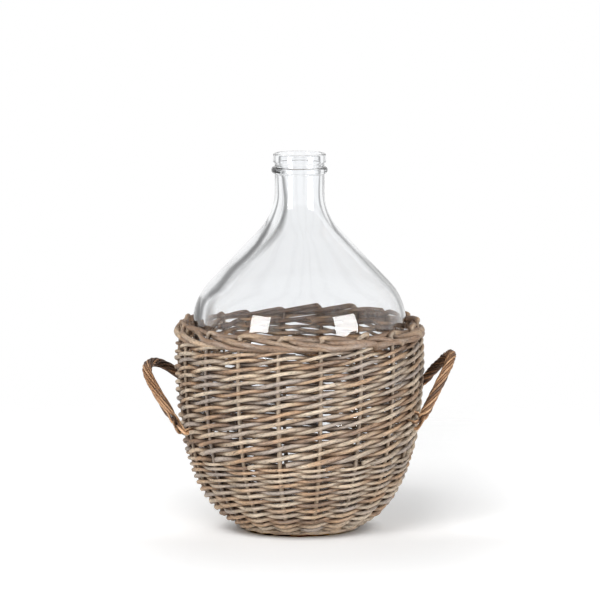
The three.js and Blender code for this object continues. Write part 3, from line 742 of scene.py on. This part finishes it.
class WICKER_OT_base(bpy.types.Operator):
    """Base: a slath of sticks crossing in the middle and fanning out to the stakes, two rods woven round it,
    and a wale of three rods round the foot"""

    bl_idname = "wicker.base"
    bl_label = "Base and foot"

    stick_diameter = 0.0050
    weaver_diameter = 0.0042
    weave_start = 0.044
    weave_inset = 0.006
    tip_inset = 0.0017

    def spokes(self, basket, wall):
        """Bend and tip of each half stick: the bend beside the crossing, the tip just inside its stake."""
        step = stake_step(basket)
        half = basket.stake_count // 2
        across = (half + 1) // 2
        along = half - across
        pitch = self.stick_diameter + ROD_GAP
        tip_radius = basket.base_radius - ROD_GAP - self.tip_inset
        spokes = []
        for count, crossing, first, level in ((along, across, math.pi / 2, 0.5), (across, along, 0, -0.5)):
            place = np.arange(count) - (count - 1) / 2
            knee = (crossing / 2 + 1) * pitch
            flat = np.stack([np.full(count, knee), place * pitch, np.full(count, level * pitch)], axis=-1)
            fan = place * step
            tip = np.stack([tip_radius * np.cos(fan), tip_radius * np.sin(fan), np.zeros(count)], axis=-1)
            lines = np.stack([flat, tip], axis=1)
            if first:
                lines = lines[..., [1, 0, 2]]
            spokes.append(lines + np.array([0, 0, wall.base_level]))
        return spokes

    def sticks(self, basket, wall, rng):
        """Each stick runs from its tip to its bend, straight across and on to the opposite bend and tip."""
        sets = []
        for lines in self.spokes(basket, wall):
            mirror = lines * ((-1, 1, 1) if lines[0, 0, 0] ** 2 > lines[0, 0, 1] ** 2 else (1, -1, 1))
            sets.append(np.stack([mirror[:, 1], mirror[:, 0], lines[:, 0], lines[:, 1]], axis=1))
        knots = np.concatenate(sets)
        paths = spline_through(knots, 12)
        rods, points = paths.shape[:2]
        radii = self.stick_diameter / 2 * (1 + 0.05 * drift(rng, rods, points, 6))
        up = np.broadcast_to((0.0, 0.0, 1.0), paths.shape)
        tone = rng.uniform(0.1, 0.9, (rods, 1)) + 0.1 * drift(rng, rods, points, 4)
        return rods_mesh("base_sticks", paths, radii, up, tone, rng)

    def weavers(self, basket, wall, rng):
        """Two rods chasing outwards: the radius grows steadily and the height is a cosine wave over the
        sticks."""
        pitch = self.weaver_diameter + ROD_GAP
        climb = 2 * pitch / basket.stake_count
        strokes = int((basket.foot_radius - self.weave_inset - pitch - self.weave_start) / climb)
        phase = np.linspace(0, strokes, 8 * strokes + 1)
        radius = self.weave_start + phase * climb
        contact = (self.stick_diameter + self.weaver_diameter) / 2
        offset = np.arange(2)[:, None] * (basket.stake_count // 2)
        turn = basket.first_stake + (phase + offset) * stake_step(basket)
        wave = contact * np.cos(math.pi * phase)
        paths = polar(radius, turn, wall.base_level + np.broadcast_to(wave, turn.shape))
        rods, points = paths.shape[:2]
        radii = self.weaver_diameter / 2 * (1 + 0.08 * drift(rng, rods, points, strokes // 3))
        up = np.broadcast_to((0.0, 0.0, 1.0), paths.shape)
        tone = 0.5 + 0.45 * drift(rng, rods, points, strokes // 8)
        return rods_mesh("base_weavers", paths, radii, up, tone, rng)

    def wale(self, basket, rng):
        """Three rods twisted round a flattened ring, a third of a turn apart: each goes once round the ring's
        line in the space of three stakes."""
        strand = basket.butt_diameter / 2
        wrap = strand * 1.05
        low = strand * 0.52
        sweep = np.linspace(0, FULL_TURN, 401)
        phase = sweep * basket.stake_count / 3 + np.arange(3)[:, None] * FULL_TURN / 3
        paths = polar(basket.foot_radius + wrap * np.cos(phase), sweep, strand + low + low * np.sin(phase))
        radii = strand * (1 + 0.06 * drift(rng, 3, len(sweep), 30)) * 0.94
        tone = 0.4 + 0.3 * drift(rng, 3, len(sweep), 20)
        return rods_mesh("foot_wale", paths, radii, polar(np.ones_like(phase), sweep, 0), tone, rng)

    def execute(self, context):
        basket = context.scene.basket_sizes
        wall = Wall(basket)
        rng = np.random.default_rng(basket.seed + 3)
        material = wicker_material("base_bark")
        made = (
            ("base_sticks", self.sticks(basket, wall, rng), node_names("base_stick")),
            ("base_weave", self.weavers(basket, wall, rng), node_names("base_weaver")),
            ("foot_wale", self.wale(basket, rng), ["foot_ring"]),
        )
        for name, mesh, nodes in made:
            dress(add_object(name, mesh, material), "basket", "base_wicker", *nodes)
        return {"FINISHED"}


class WICKER_OT_handles(bpy.types.Operator):
    """Rope handles: three plies of three rods laid in a ring round the heart of the rope, over an arch, with
    each ply's ends tucked into a gap of the weave at a stake"""

    bl_idname = "wicker.handles"
    bl_label = "Handles"

    plies = 3
    ply_rods = 3
    steps = 78
    samples = 3
    cad_pitch = 0.0051
    start = math.radians(14)
    tip_round = 0.32
    pocket_depths = (-0.002, 0.0045, 0.0105)
    tones = (0.66, 0.24, 0.6, 0.42, 0.08, 0.68, 0.36, 0.62, 0.3)
    groove = 0.0035
    unevenness = 0.0006
    # Shares of the rope's length: where its rods are tucked in, and over which they come together
    tucked = 0.05
    joining = 0.06

    def middle(self, wall, basket, sizes, handle, turn):
        """The middle line of the rope: foot to foot by a cosine, with the arch added as a rounded point
        between two nearly straight legs."""
        share = (1 - np.cos(turn)) / 2
        rounded = np.hypot(np.cos(turn), self.tip_round) - self.tip_round
        across = rounded / (math.hypot(1, self.tip_round) - self.tip_round)
        arch = np.maximum(1 - across ** handle["point"], 0) ** (1 / handle["point"])
        along = wall.along_at(basket.waist_height) + np.array(handle["rows"]) * self.cad_pitch
        radius, height, outward, upward = wall.at(along)
        contact = (basket.stake_diameter + basket.weaver_diameter) / 2
        front, back = throws(radius, outward, stake_step(basket), contact)
        standing = radius + front + basket.weaver_diameter / 2 + 1.8 * sizes.ply_radius + sizes.standoff
        stakes = basket.first_stake + np.array(handle["stakes"]) * stake_step(basket)

        def between(ends):
            """From the value at one foot to the value at the other."""
            return ends[0] + (ends[1] - ends[0]) * share

        return polar(
            between(standing) + handle["reach"] * arch,
            between(stakes) + handle["lean"] * arch,
            between(height) + handle["rise"] * arch,
        )

    def pocket(self, wall, basket, handle, foot, gap, depth):
        """Where a ply goes into the wall, in rows and stakes from the middle of the foot."""
        rows, stakes = handle["pockets"][foot][gap]
        along = wall.along_at(basket.waist_height) + (handle["rows"][foot] + rows) * self.cad_pitch
        turn = basket.first_stake + (handle["stakes"][foot] + stakes) * stake_step(basket)
        return wall.point(along, turn, depth)

    def rope(self, wall, basket, sizes, handle, rng):
        """The rods of one rope: the plies wind round the middle line and run out into their pockets. Over the
        arch their rods lie side by side in a ring, and near the feet they gather into the plies again."""
        turn = np.linspace(self.start, math.pi - self.start, self.steps + 1)
        middle = self.middle(wall, basket, sizes, handle, turn)
        tangent = unit(np.gradient(middle, axis=0))
        centre = basket.first_stake + sum(handle["stakes"]) / 2 * stake_step(basket)
        slope = unit(polar(handle["reach"], centre, handle["rise"]))
        outer = np.cross(polar(1, centre + math.pi / 2, 0), slope)
        outer = outer * np.sign(outer @ polar(1, centre, 0))
        outer = unit(outer - tangent * (tangent @ outer)[:, None])
        beside = np.cross(outer, tangent)
        lay = FULL_TURN / self.plies
        lays = handle["lays"]
        core = sizes.ply_radius * 0.92
        share = np.linspace(0, 1, len(turn))
        lines = []
        for ply in range(self.plies):
            line = middle + core * around(math.pi + lay * (ply + lays * share), outer, beside)
            ends = [
                [self.pocket(wall, basket, handle, foot, gap, depth) for depth in self.pocket_depths]
                for foot, gap in ((0, ply), (1, (ply + lays) % self.plies))
            ]
            lines.append(np.concatenate([ends[0], line, ends[1][::-1]]))
        paths = spline_through(np.array(lines), self.samples)
        heart = paths.mean(axis=0)
        more = len(self.pocket_depths)
        carried = np.pad(np.column_stack([outer, share]), ((more, more), (0, 0)), mode="edge")
        carried = spline_through(carried[None], self.samples)[0]
        outer, share = carried[:, :3], carried[:, 3]
        along = unit(np.gradient(heart, axis=0))
        outer = unit(outer - along * np.sum(along * outer, axis=1)[:, None])
        beside = np.cross(outer, along)
        side = unit(np.cross(along, np.cross((0.3, 0.2, 1.0), along)))
        over = np.cross(along, side)
        place = np.linspace(0, 1, len(heart))
        inward = np.minimum(place, 1 - place)
        swing = 0.66 * sizes.rod_diameter * np.clip(inward / self.tucked, 0.35, 1)
        gathered = blend_in(np.clip((inward - self.tucked) / self.joining, 0, 1))[:, None]
        rods = []
        for ply in range(self.plies):
            for rod in range(self.ply_rods):
                phase = FULL_TURN * (rod / self.ply_rods - lays / self.plies * place)
                loose = paths[ply] + swing[:, None] * around(phase, side, over)
                phase = math.pi + lay * (ply + lays * share + (rod - 1) / self.ply_rods)
                ring = sizes.ring_radius + self.unevenness * drift(rng, 1, len(heart), 9)[0]
                laid = heart + ring[:, None] * around(phase, outer, beside)
                rods.append(loose + (laid - loose) * gathered)
        rods = np.array(rods)
        count, points = rods.shape[:2]
        radii = sizes.rod_diameter / 2 * (1 + 0.1 * drift(rng, count, points, 12))
        # Painted shade: the far leg of each rope, in shadow, is moved towards the dark rope colour; bark here
        # is this shade, not a colour of the rods
        from_front = place if handle["near"] == 0 else 1 - place
        bark = np.interp(from_front, [0, 0.42, 0.56, 0.9, 1], [0, 0, 0.4, 0.4, 0])
        tone = np.resize(self.tones, (count, 1)) + 0.15 * drift(rng, count, points, 8) - bark
        # Painted shade: recess is the distance from the rope's heart less the groove, so the rods darken
        # where they lie in among the plies
        out = rods - rods.mean(axis=0)
        depth = np.linalg.norm(out, axis=-1) - self.groove
        return rods_mesh(handle["name"], rods, radii, out, tone, rng, 7, depth)

    def execute(self, context):
        basket, sizes = context.scene.basket_sizes, context.scene.handle_sizes
        wall = Wall(basket)
        rng = np.random.default_rng(basket.seed + 4)
        material = wicker_material("rope_bark", 0.4, 0.1)
        handles = (
            dict(
                name="right_handle", near=0, lays=-8, stakes=(1, 3), rows=(8, 14), point=1.19,
                pockets=(((2.4, 0), (0.4, -0.1), (-1.4, 0.1)), ((1, 0), (0, 0.1), (-1, -0.1))),
                rise=sizes.right_rise, reach=sizes.right_reach, lean=sizes.right_lean,
            ),
            dict(
                name="left_handle", near=1, lays=4, stakes=(9, 12), rows=(8, 6), point=1.53,
                pockets=(((1, 0), (0, 0.1), (-1, -0.1)), ((0.3, 0.05), (-0.2, 0.12), (-1.0, -0.5))),
                rise=sizes.left_rise, reach=sizes.left_reach, lean=sizes.left_lean,
            ),
        )
        for handle in handles:
            mesh = self.rope(wall, basket, sizes, handle, rng)
            piece = add_object(handle["name"], mesh, material)
            dress(piece, "basket", "handle_wicker", *node_names(handle["name"] + "_strand"))
        return {"FINISHED"}


def rounded_line(corners, steps):
    """A line through corners (x, y, radius) in which each corner with a radius becomes an arc that touches
    both sides of the corner."""
    points = []
    for i, (x, y, radius) in enumerate(corners):
        here = np.array([x, y])
        if not radius or i in (0, len(corners) - 1):
            points.append(here[None])
            continue
        before = unit(np.array(corners[i - 1][:2]) - here)
        after = unit(np.array(corners[i + 1][:2]) - here)
        half = math.acos(np.clip(before @ after, -1, 1)) / 2
        centre = here + unit(before + after) * radius / math.sin(half)
        first = here + before * radius / math.tan(half) - centre
        final = here + after * radius / math.tan(half) - centre
        sweep = math.atan2(first[0] * final[1] - first[1] * final[0], first @ final)
        turn = np.linspace(0, sweep, steps + 1)
        across = first[0] * np.cos(turn) - first[1] * np.sin(turn)
        upward = first[0] * np.sin(turn) + first[1] * np.cos(turn)
        points.append(centre + np.stack([across, upward], axis=-1))
    return np.concatenate(points)


def even_line(line, spacing):
    """The same line with points about a spacing apart."""
    steps = np.linalg.norm(np.diff(line, axis=0), axis=1)
    along = np.concatenate([[0], np.cumsum(steps)])
    keep = np.concatenate([[True], steps > 1e-9])
    place = np.linspace(0, along[-1], max(2, int(round(along[-1] / spacing)) + 1))
    return np.stack([np.interp(place, along[keep], line[keep, i]) for i in (0, 1)], axis=-1)


class WICKER_OT_jar(bpy.types.Operator):
    """Glass jar: a line from the punt round the outside to the lip and back down the bore and the inside,
    turned round Z. The inside is moved in by an amount that varies round the jar, as in hand-blown glass"""

    bl_idname = "wicker.jar"
    bl_label = "Glass jar"

    segments = 144
    side_points = 60
    body_spacing = 0.0035
    mouth_spacing = 0.0007
    punt_round = 0.03
    punt_edge = 0.012
    bead_start = 0.001
    bead_fillet = 0.0009
    bead_round = 0.003
    lip_slope = 0.0015
    lip_fillet = 0.0007
    lip_corner = 0.0012
    lip_round = 0.0022
    bore_round = 0.0018
    bore_depth = 0.006
    inside_end = 0.008
    # Where the added glass starts and over which length it grows: from the mouth, the floor and the neck
    mouth_fade = (0.009, 0.020)
    floor_fade = (0.02, 0.06)
    body_fade = (0.045, 0.065)
    # The middle of the gather in the neck, below the mouth, and its spread
    gather_drop = 0.06
    gather_spread = 0.034
    waviness = 0.00015

    def hug(self, wall, basket, jar, along, inset):
        """A point of the side that keeps clear of the rods up to the jar's full width."""
        radius, height, outward, upward = wall.at(along)
        contact = (basket.stake_diameter + basket.weaver_diameter) / 2 + ROD_GAP
        back = throws(radius, outward, stake_step(basket), contact)[1]
        depth = back + basket.weaver_diameter / 2 + jar.clearance + inset
        return min(radius - depth * outward, jar.body_radius - inset), height - depth * upward

    def line(self, wall, basket, jar, inset, end):
        """The line from the middle underneath up the neck to its end, moved in from the outside by an
        amount."""
        floor = JAR_FLOOR + inset
        neck_corner = MOUTH_HEIGHT - jar.neck_length
        shoulder = neck_corner - (jar.body_radius - jar.neck_radius) / math.tan(jar.cone_angle)
        slide = inset * math.tan(jar.cone_angle / 2)
        side_end = wall.along_at(basket.upright_height)
        places = np.linspace(0, side_end, self.side_points)
        side = [self.hug(wall, basket, jar, place, inset) for place in places]
        side = [point for point in side if point[1] > floor]
        corners = [
            (0, floor + jar.punt_height, 0),
            (jar.punt_radius * 0.35, floor + jar.punt_height * 0.86, self.punt_round),
            (jar.punt_radius, floor, self.punt_edge),
            (side[0][0], floor, jar.bottom_round - inset),
        ]
        corners += [(radius, height, 0) for radius, height in side[6:]]
        corners += [
            (jar.body_radius - inset, shoulder - slide, jar.shoulder_round - inset),
            (jar.neck_radius - inset, neck_corner - slide, jar.neck_round + inset),
            (jar.neck_radius - inset, end, 0),
        ]
        return even_line(rounded_line(corners, 16), self.body_spacing)

    def finish_line(self, jar):
        """Bead and lip: from the neck out round the bead, over the lip and down into the bore."""
        ring = MOUTH_HEIGHT - jar.ring_drop
        lip = MOUTH_HEIGHT - jar.lip_height
        bore = jar.neck_radius - jar.wall
        corners = [
            (jar.neck_radius, ring - jar.ring_half - self.bead_start, 0),
            (jar.neck_radius, ring - jar.ring_half, self.bead_fillet),
            (jar.ring_radius, ring - jar.ring_half * 0.85, self.bead_round),
            (jar.ring_radius, ring + jar.ring_half * 0.85, self.bead_round),
            (jar.neck_radius, ring + jar.ring_half, self.bead_fillet),
            (jar.neck_radius, lip - self.lip_slope, self.lip_fillet),
            (jar.lip_radius, lip, self.lip_corner),
            (jar.lip_radius, MOUTH_HEIGHT, self.lip_round),
            (bore, MOUTH_HEIGHT, self.bore_round),
            (bore, MOUTH_HEIGHT - self.bore_depth, 0),
        ]
        return even_line(rounded_line(corners, 6), self.mouth_spacing)

    def gather(self, jar, height, turn):
        """Glass added to the inside: most on the left, least at the front and the back, with a slow ripple, a
        gather in the neck, and nothing at the mouth and the bottom."""

        def grown(distance, fade):
            """A straight rise from 0 to 1 over a length, after a start."""
            return np.clip((distance - fade[0]) / fade[1], 0, 1)

        below = MOUTH_HEIGHT - height
        fade = blend_in(grown(below, self.mouth_fade)) * grown(height - JAR_FLOOR, self.floor_fade)
        left = (0.5 + 0.5 * np.cos(turn - math.pi)) ** 1.6
        ripple = 1 + 0.06 * np.sin(height * 60 + 0.6 * np.sin(turn * 2))
        ripple = ripple + 0.03 * np.sin(height * 131 + turn + 1.1)
        neck = np.exp(-(((below - self.gather_drop) / self.gather_spread) ** 2))
        added = jar.thick_side * left * ripple - jar.thin_front * np.sin(turn) ** 2
        added = added * (0.2 + 0.8 * blend_in(grown(below, self.body_fade)))
        added = added + jar.neck_gather * neck * (1 + 0.25 * np.cos(turn - math.pi))
        return fade * (added + self.waviness * (1 + np.sin(turn * 3 + height * 40 + 0.4)))

    def execute(self, context):
        basket, jar = context.scene.basket_sizes, context.scene.jar_sizes
        wall = Wall(basket)
        bead = MOUTH_HEIGHT - jar.ring_drop - jar.ring_half - self.bead_start
        outside = self.line(wall, basket, jar, 0, bead)
        inside = self.line(wall, basket, jar, jar.wall, MOUTH_HEIGHT - self.inside_end)[::-1]
        top = self.finish_line(jar)
        profile = np.concatenate([outside[:-1], top, inside])
        inside_from = len(outside) - 1 + len(top)
        inner = (np.arange(len(profile)) >= inside_from).astype(float)[:, None]
        turn = np.linspace(0, FULL_TURN, self.segments, endpoint=False)
        height = profile[:, 1:2]
        tangent = unit(np.gradient(profile, axis=0))
        inward = np.stack([tangent[:, 1], -tangent[:, 0]], axis=-1) * inner
        added = self.gather(jar, height, turn)
        radius = np.maximum(profile[:, :1] + inward[:, :1] * added, 0)
        level = height + inward[:, 1:] * added
        grid = polar(radius, turn, level)
        rows = len(profile)
        start, end = grid[0].mean(axis=0), grid[-1].mean(axis=0)
        skin = grid[1:-1].reshape(-1, 3)
        vertices = np.concatenate([skin, [start], [end]])
        index = np.arange(len(skin)).reshape(rows - 2, self.segments)
        beside = np.roll(index, -1, axis=1)
        quads = np.stack([index[:-1], beside[:-1], beside[1:], index[1:]], axis=-1).reshape(-1, 4)
        first, last = len(skin), len(skin) + 1
        caps = np.concatenate([
            np.stack([np.full(self.segments, first), beside[0], index[0]], axis=-1),
            np.stack([np.full(self.segments, last), index[-1], beside[-1]], axis=-1),
        ])
        mesh = fill_mesh("glass_jar_blown", vertices, quads, caps, {})
        mesh.polygons.foreach_set("use_smooth", np.ones(len(mesh.polygons), bool))
        piece = add_object("glass_jar_blown", mesh, glass_material())
        piece.visible_shadow = False
        dress(piece, "jar", "clear_glass", "glass_jar")
        return {"FINISHED"}


class WICKER_OT_stage(bpy.types.Operator):
    """Stage: the camera, two softboxes, a key light, a back light, two lamps that show only in reflections,
    a white surround and a pale floor that keeps the shadow and has painted shade in its glow"""

    bl_idname = "wicker.stage"
    bl_label = "Stage"

    camera_distance = 6.25
    camera_elevation = math.radians(7.5)
    frame_width = 0.75
    target_height = 0.2865
    target_side = 0.0006
    aim_height = 0.25
    floor_reach = 1.1
    floor_level = -0.0002
    # Name, degrees from the camera's side, height, distance, size, power, whether only reflections show it
    lamps = (
        ("softbox_left", -43, 0.62, 2.1, (0.8, 1.3), 23, False),
        ("softbox_right", 51, 0.62, 2.1, (0.8, 1.3), 27, False),
        ("key_light", -22, 1.95, 1.5, (1.3, 1.3), 29, False),
        ("back_light", 180, 1.5, 2.2, (1.3, 1.3), 8, False),
        ("left_glint", -43, 0.52, 2.0, (0.74, 1.42), 65, True),
        ("right_glint", 51, 0.52, 2.0, (0.92, 1.42), 80, True),
    )

    def camera(self, scene):
        """A long lens in front of the basket and a little above it. Its focal length is the sensor's width
        times the distance over the width of the picture at the basket."""
        data = bpy.data.cameras.new("camera")
        camera = bpy.data.objects.new("camera", data)
        scene.collection.objects.link(camera)
        data.lens = data.sensor_width * self.camera_distance / self.frame_width
        target = Vector((self.target_side, 0, self.target_height))
        back = Vector((0, -math.cos(self.camera_elevation), math.sin(self.camera_elevation)))
        camera.location = target + back * self.camera_distance
        camera.rotation_euler = (-back).to_track_quat("-Z", "Y").to_euler()
        data.clip_end = 50
        scene.camera = camera

    def softbox(self, scene, name, azimuth, height, distance, size, power, glossy_only):
        """An area light at an azimuth from the camera's side, turned towards the basket."""
        data = bpy.data.lights.new(name, "AREA")
        data.shape = "RECTANGLE"
        data.size, data.size_y = size
        data.energy = power
        lamp = bpy.data.objects.new(name, data)
        scene.collection.objects.link(lamp)
        turn = math.radians(azimuth)
        lamp.location = (math.sin(turn) * distance, -math.cos(turn) * distance, height)
        aim = Vector((0, 0, self.aim_height)) - lamp.location
        lamp.rotation_euler = aim.to_track_quat("-Z", "Y").to_euler()
        lamp.visible_glossy = glossy_only
        lamp.visible_diffuse = not glossy_only
        lamp.visible_transmission = False

    def surround(self, scene):
        """White where the camera looks. In the glass the white has soft grey bands between eight directions,
        as dark cards round the jar would give, and the rest of the light is an even fill."""
        world = bpy.data.worlds.new("surround")
        world.use_nodes = True
        scene.world = world
        nodes = Nodes(world.node_tree)
        path, shown = nodes.shown()
        direction = nodes.add("ShaderNodeTexCoord")
        parts = nodes.add("ShaderNodeSeparateXYZ", {0: direction.outputs["Generated"]}).outputs
        azimuth = nodes.math("ARCTAN2", parts["X"], parts["Y"])
        wave = nodes.math("COSINE", nodes.math("MULTIPLY", azimuth, 8.0))
        share = nodes.math("MULTIPLY_ADD", wave, 0.5, 0.5)
        bands = nodes.ramp(share, [(0.0, grey(0.25)), (0.1, grey(0.45)), (0.35, grey(1.0))])
        mirrored = nodes.mix(path["Is Glossy Ray"], grey(1.0), nodes.span(parts["Y"], -0.3, 0.3, 0.28))
        seen = nodes.mix(path["Is Transmission Ray"], mirrored, bands)
        fill = nodes.add("ShaderNodeBackground", {"Color": (1, 1, 1, 1), "Strength": 0.2})
        white = nodes.add("ShaderNodeBackground", {"Color": seen, "Strength": 1.0})
        both = nodes.add("ShaderNodeMixShader", {0: shown, 1: fill.outputs[0], 2: white.outputs[0]})
        nodes.add("ShaderNodeOutputWorld", {"Surface": both.outputs[0]})

    def floor(self):
        """A round floor that fades into the surround, half lit and half self-lit so that it is white where no
        shadow falls. Its glow is shaped into painted shade: it is less under the basket, which paints a
        contact shade round the foot, less in front of it and behind it on the right, where it paints soft
        shadows, and more at the sides, which lightens the real shadow there."""
        turn = np.linspace(0, FULL_TURN, 97)[:-1]
        ring = polar(self.floor_reach, turn, self.floor_level)
        vertices = np.concatenate([ring, [(0, 0, self.floor_level)]])
        index = np.arange(len(turn))
        faces = np.stack([np.full(len(turn), len(turn)), index, np.roll(index, -1)], axis=-1)
        mesh = fill_mesh("floor", vertices, np.zeros((0, 4), int), faces, {})
        material, nodes = new_material("pale_floor")
        place = nodes.add("ShaderNodeTexCoord").outputs["Object"]
        distance = nodes.add("ShaderNodeVectorMath", {0: place}, operation="LENGTH").outputs["Value"]
        parts = nodes.add("ShaderNodeSeparateXYZ", {0: place}).outputs
        shown = nodes.shown()[1]

        def blend(value, low, high, amount=1.0):
            """An S-shaped rise from nothing to an amount between two values."""
            return nodes.span(value, low, high, 0.0, amount, "SMOOTHSTEP")

        fade = blend(distance, 0.55, 1.08)
        # The even glow, taken away under the basket: painted shade there and round the foot
        under = blend(distance, 0.07, 0.11, 0.43)
        # Painted light: more glow at the sides, which lifts the real shadow there
        across = nodes.math("ABSOLUTE", nodes.math("SUBTRACT", parts["X"], 0.03))
        beside = blend(across, 0.12, 0.42, 0.25)
        # Painted shade on the floor in front of the basket
        near = nodes.math("MULTIPLY", blend(parts["Y"], 0.03, -0.12, 0.25), blend(distance, 0.65, 0.2))
        # Painted shadow on the floor behind the basket on the right
        behind = nodes.math("MULTIPLY", blend(parts["X"], 0.21, 0.12, 0.13), blend(parts["X"], 0.06, 0.11))
        behind = nodes.math("MULTIPLY", behind, blend(parts["Y"], -0.08, 0.06))
        behind = nodes.math("MULTIPLY", behind, blend(parts["Y"], 0.40, 0.12))
        strength = nodes.math("SUBTRACT", nodes.math("ADD", under, beside), nodes.math("ADD", near, behind))
        lit = nodes.add("ShaderNodeBsdfDiffuse", {"Color": (0.8, 0.8, 0.8, 1)})
        glowing = nodes.math("MULTIPLY", shown, strength)
        glow = nodes.add("ShaderNodeEmission", {"Color": (1, 1, 1, 1), "Strength": glowing})
        both = nodes.add("ShaderNodeAddShader", {0: lit.outputs[0], 1: glow.outputs[0]})
        clear = nodes.add("ShaderNodeBsdfTransparent")
        faded = nodes.add("ShaderNodeMixShader", {0: fade, 1: both.outputs[0], 2: clear.outputs[0]})
        nodes.add("ShaderNodeOutputMaterial", {"Surface": faded.outputs[0]})
        add_object("floor", mesh, material)

    def execute(self, context):
        scene = context.scene
        scene.view_settings.view_transform = "Standard"
        self.camera(scene)
        self.surround(scene)
        self.floor()
        for lamp in self.lamps:
            self.softbox(scene, *lamp)
        return {"FINISHED"}


class WICKER_PT_panel(bpy.types.Panel):
    """Lists the steps that make the jar and its basket"""

    bl_label = "Wicker Jar"
    bl_idname = "WICKER_PT_panel"
    bl_space_type = "VIEW_3D"
    bl_region_type = "UI"
    bl_category = "Wicker Jar"

    def draw(self, context):
        for operator in OPERATORS:
            self.layout.operator(operator.bl_idname)
        for group in GROUPS:
            values = getattr(context.scene, group)
            for key in values.__annotations__:
                self.layout.prop(values, key)


OPERATORS = (
    WICKER_OT_stage,
    WICKER_OT_jar,
    WICKER_OT_stakes,
    WICKER_OT_lower_siding,
    WICKER_OT_upper_siding,
    WICKER_OT_base,
    WICKER_OT_handles,
)
GROUPS = {
    "basket_sizes": BasketSizes,
    "jar_sizes": JarSizes,
    "handle_sizes": HandleSizes,
    "wicker_finishes": Finishes,
}


def register():
    """Makes the settings, the operators and the panel known to Blender."""
    for cls in (*GROUPS.values(), *OPERATORS, WICKER_PT_panel):
        bpy.utils.register_class(cls)
    for name, group in GROUPS.items():
        setattr(bpy.types.Scene, name, PointerProperty(type=group))


def unregister():
    """Takes back what register did."""
    for name in GROUPS:
        delattr(bpy.types.Scene, name)
    for cls in reversed((*GROUPS.values(), *OPERATORS, WICKER_PT_panel)):
        bpy.utils.unregister_class(cls)


def main():
    """Makes every piece in order."""
    register()
    bpy.ops.wicker.stage()
    bpy.ops.wicker.jar()
    bpy.ops.wicker.stakes()
    bpy.ops.wicker.lower_siding()
    bpy.ops.wicker.upper_siding()
    bpy.ops.wicker.base()
    bpy.ops.wicker.handles()


if __name__ == "__main__":
    main()
